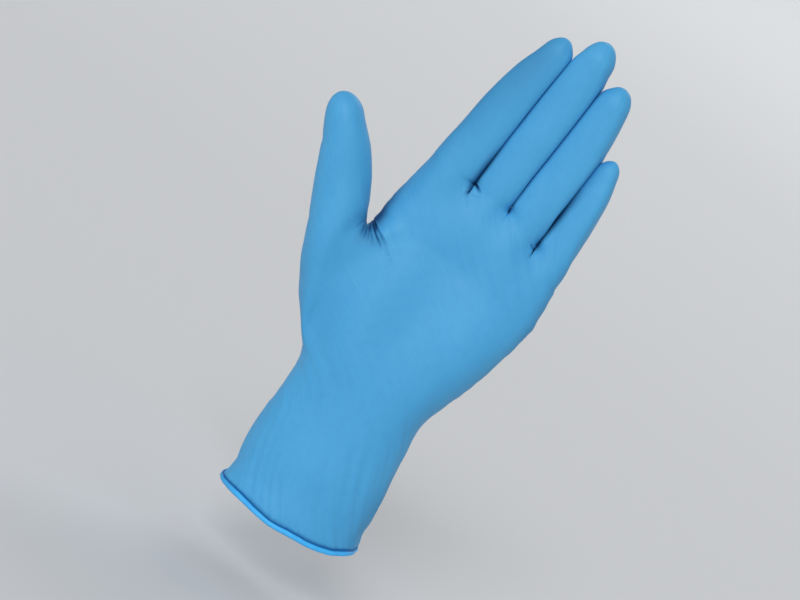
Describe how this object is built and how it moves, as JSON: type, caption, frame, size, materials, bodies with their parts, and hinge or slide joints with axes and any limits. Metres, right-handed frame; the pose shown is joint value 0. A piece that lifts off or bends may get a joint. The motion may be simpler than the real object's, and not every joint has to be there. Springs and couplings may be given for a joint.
{
  "type": "nitrile cleanroom glove",
  "caption": "Thin nitrile glove for a left hand in its worn form, with a long cuff that ends in a rolled bead; open at the wrist.",
  "frame": {"origin": "middle of the cuff's mouth, where the wrist goes in", "axes": "+Z from the cuff to the middle fingertip, the palm faces -Y, the thumb points to -X"},
  "size_m": [0.1236, 0.0469, 0.2433],
  "materials": {
    "nitrile_film": "satin sky-blue nitrile film with a faint mottle and soft stretch folds",
    "rolled_edge": "the same film rolled on itself, deeper and more saturated blue, slightly glossier"
  },
  "bodies": {
    "root": {"glove_shell": "nitrile_film", "cuff_bead": "rolled_edge"}
  },
  "joints": []
}
